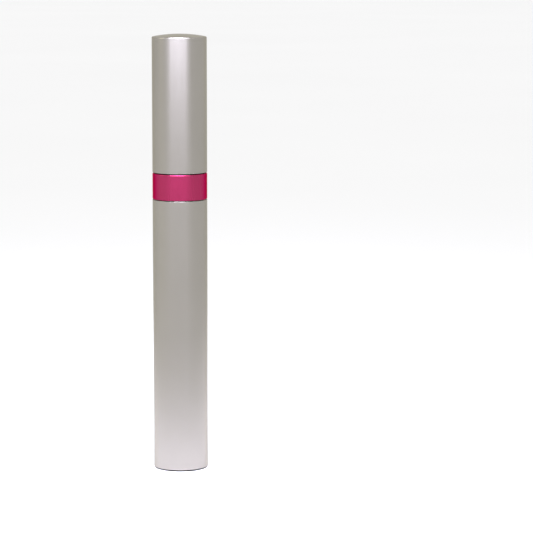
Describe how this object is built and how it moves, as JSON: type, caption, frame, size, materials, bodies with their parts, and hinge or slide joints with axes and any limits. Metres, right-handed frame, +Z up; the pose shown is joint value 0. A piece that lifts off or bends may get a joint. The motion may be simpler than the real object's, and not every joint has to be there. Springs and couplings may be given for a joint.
{
  "type": "mascara tube",
  "caption": "Slim round mascara tube with satin metal shells, a pink collar ring and a screw cap that carries a stem and a curved brush.",
  "frame": {"origin": "middle of the foot, on the surface that the closed tube stands on", "axes": "+Z up along the tube's axis; the brush bends towards -X in the XZ plane; -Y faces the viewer"},
  "size_m": [0.017, 0.017, 0.1358],
  "materials": {
    "satin_aluminium": "bead-blasted, champagne-silver anodised, satin",
    "pink_aluminium": "pink anodised, satin gloss, bright chamfer",
    "black_plastic": "glossy moulded black",
    "stem_plastic": "satin blue-black",
    "wiper_rubber": "soft satin black",
    "liner_foam": "matt white closed-cell foam",
    "weight_steel": "zinc-plated, turned",
    "wire_steel": "drawn wire",
    "bristle_nylon": "black nylon fibre"
  },
  "bodies": {
    "bottle": {"bottle_shell": "satin_aluminium", "base_plug": "black_plastic", "vial": "black_plastic", "collar_insert": "black_plastic", "collar_ring": "pink_aluminium", "wiper": "wiper_rubber"},
    "liner": {"liner": "liner_foam"},
    "weight": {"cap_weight": "weight_steel"},
    "cap": {"cap_shell": "satin_aluminium", "inner_cap": "black_plastic", "stem": "stem_plastic", "brush_wire": "wire_steel", "bristle_turn_01": "bristle_nylon", "bristle_turn_02": "bristle_nylon", "bristle_turn_03": "bristle_nylon", "bristle_turn_04": "bristle_nylon", "bristle_turn_05": "bristle_nylon", "bristle_turn_06": "bristle_nylon", "bristle_turn_07": "bristle_nylon", "bristle_turn_08": "bristle_nylon", "bristle_turn_09": "bristle_nylon", "bristle_turn_10": "bristle_nylon", "bristle_turn_11": "bristle_nylon", "bristle_turn_12": "bristle_nylon", "bristle_turn_13": "bristle_nylon", "bristle_turn_14": "bristle_nylon"}
  },
  "joints": [
    {"name": "cap_lift", "type": "slide", "parent": "bottle", "child": "liner", "axis": [0, 0, 1], "range_m": [0, 0.096], "deforming": ["wiper", "brush_wire", "bristle_turn_01", "bristle_turn_02", "bristle_turn_03", "bristle_turn_04", "bristle_turn_05", "bristle_turn_06", "bristle_turn_07", "bristle_turn_08", "bristle_turn_09", "bristle_turn_10", "bristle_turn_11", "bristle_turn_12", "bristle_turn_13", "bristle_turn_14"]},
    {"name": "thread_rise", "type": "slide", "parent": "liner", "child": "weight", "axis": [0, 0, 1], "range_m": [0, 0.0032]},
    {"name": "cap_turn", "type": "hinge", "parent": "weight", "child": "cap", "pos_m": [0, 0, 0.1], "axis": [0, 0, 1], "range_deg": [0, 540]}
  ],
  "couplings": [
    {"joint": "thread_rise", "follows": "cap_turn", "m_per_rad": 0.00033741}
  ]
}
